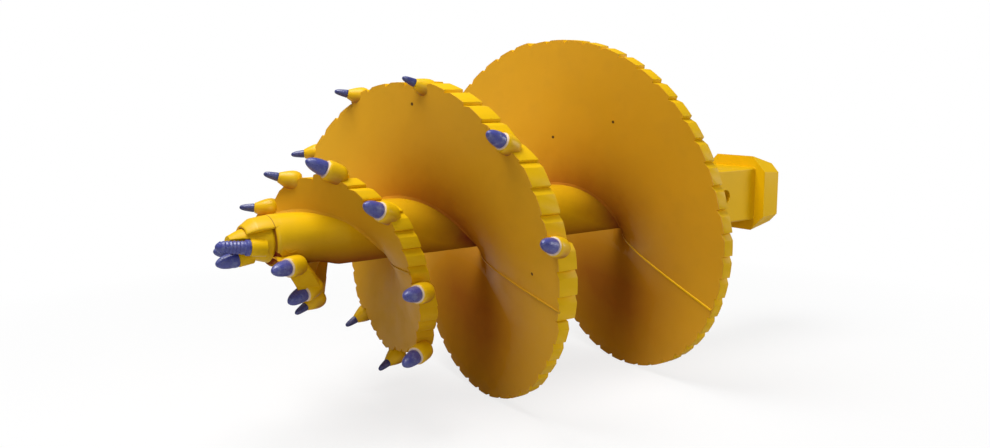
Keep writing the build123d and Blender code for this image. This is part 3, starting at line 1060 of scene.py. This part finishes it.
class AUGER_OT_stage(bpy.types.Operator):
    """Lays the floor and sets the lights and the camera"""

    bl_idname = "auger.stage"
    bl_label = "Stage"

    def execute(self, context):
        scene = context.scene
        scene.view_settings.view_transform = "Standard"
        self.floor(scene)
        self.world(scene)
        for name, position, target, size, power in LAMPS:
            self.lamp(scene, name, position, target, size, power)
        camera = bpy.data.objects.new("camera", bpy.data.cameras.new("camera"))
        scene.collection.objects.link(camera)
        camera.data.sensor_width = CAMERA_SENSOR
        camera.data.lens = CAMERA_LENS
        matrix = Matrix(CAMERA_AXES).transposed().to_4x4()
        reach, side, height = CAMERA_PLACE
        matrix.translation = Vector((reach - sizes().pin_reach, side, height))
        camera.matrix_world = matrix
        scene.camera = camera
        return {"FINISHED"}

    def floor(self, scene):
        """The floor, just under the lowest point of the auger."""
        mesh = bmesh.new()
        bmesh.ops.create_grid(mesh, x_segments=1, y_segments=1, size=FLOOR_HALF)
        bmesh.ops.translate(mesh, vec=(0, 0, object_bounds()[0][2] - FLOOR_GAP), verts=mesh.verts)
        data = bpy.data.meshes.new("floor")
        mesh.to_mesh(data)
        mesh.free()
        floor = bpy.data.objects.new("floor", data)
        scene.collection.objects.link(floor)
        data.materials.append(self.floor_material())
        floor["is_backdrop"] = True

    def floor_material(self):
        """A pale floor that the camera sees as near white, with the object's shadow kept."""
        material = bpy.data.materials.new("floor_pale")
        kit = NodeKit(material)
        seen = kit.nodes.new("ShaderNodeLightPath").outputs["Is Camera Ray"]
        diffuse = kit.nodes.new("ShaderNodeBsdfDiffuse")
        kit.link(kit.blended(seen, tuple(colours().floor), toned(colours().floor, 1.7)), diffuse.inputs["Color"])
        glow = kit.nodes.new("ShaderNodeEmission")
        apart = kit.distance(kit.coordinates(), (*FLOOR_MIDDLE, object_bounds()[0][2]))
        mix = kit.nodes.new("ShaderNodeMixShader")
        kit.link(kit.maths("MULTIPLY", seen, kit.ramp(apart, *FLOOR_WHITE, 0.78, 1.0)), mix.inputs["Fac"])
        kit.link(diffuse.outputs["BSDF"], mix.inputs[1])
        kit.link(glow.outputs["Emission"], mix.inputs[2])
        kit.link(mix.outputs["Shader"], kit.nodes.new("ShaderNodeOutputMaterial").inputs["Surface"])
        return material

    def world(self, scene):
        """An even white room, dim to the object and full white to the camera."""
        scene.world = bpy.data.worlds.new("room")
        kit = NodeKit(scene.world)
        background = kit.nodes.new("ShaderNodeBackground")
        background.inputs["Color"].default_value = (1.0, 1.0, 1.0, 1.0)
        path = kit.nodes.new("ShaderNodeLightPath")
        seen = kit.maths("MAXIMUM", path.outputs["Is Camera Ray"], path.outputs["Is Transmission Ray"])
        kit.link(kit.ramp(seen, 0.0, 1.0, ROOM_LIGHT, 1.0), background.inputs["Strength"])
        kit.link(background.outputs["Background"], kit.nodes.new("ShaderNodeOutputWorld").inputs["Surface"])

    def lamp(self, scene, name, position, target, size, power):
        """A large soft lamp aimed at a place."""
        data = bpy.data.lights.new(name, "AREA")
        data.shape = "DISK"
        data.size = size
        data.energy = power
        lamp = bpy.data.objects.new(name, data)
        scene.collection.objects.link(lamp)
        lamp.location = position
        lamp.rotation_euler = (Vector(target) - Vector(position)).to_track_quat("-Z", "Y").to_euler()


class AUGER_PT_panel(bpy.types.Panel):
    """Lists the auger's pieces, sizes and colours"""

    bl_label = "Rock auger"
    bl_idname = "AUGER_PT_panel"
    bl_space_type = "VIEW_3D"
    bl_region_type = "UI"
    bl_category = "Auger"

    def draw(self, context):
        for operator in OPERATORS:
            self.layout.operator(operator.bl_idname)
        for group in (context.scene.auger_sizes, context.scene.auger_colours):
            for name in group.__annotations__:
                self.layout.prop(group, name)


OPERATORS = (
    AUGER_OT_core, AUGER_OT_flights, AUGER_OT_wear_blocks, AUGER_OT_welds, AUGER_OT_holders, AUGER_OT_picks,
    AUGER_OT_pilot_bit, AUGER_OT_kelly_box, AUGER_OT_stage,
)
CLASSES = (AugerSizes, AugerColours, *OPERATORS, AUGER_PT_panel)


def register():
    for kind in CLASSES:
        bpy.utils.register_class(kind)
    bpy.types.Scene.auger_sizes = PointerProperty(type=AugerSizes)
    bpy.types.Scene.auger_colours = PointerProperty(type=AugerColours)


def unregister():
    del bpy.types.Scene.auger_colours
    del bpy.types.Scene.auger_sizes
    for kind in reversed(CLASSES):
        bpy.utils.unregister_class(kind)


def main():
    """Builds the whole auger on its stage."""
    register()
    for operator in OPERATORS:
        getattr(bpy.ops.auger, operator.bl_idname.split(".")[1])()


if __name__ == "__main__":
    main()
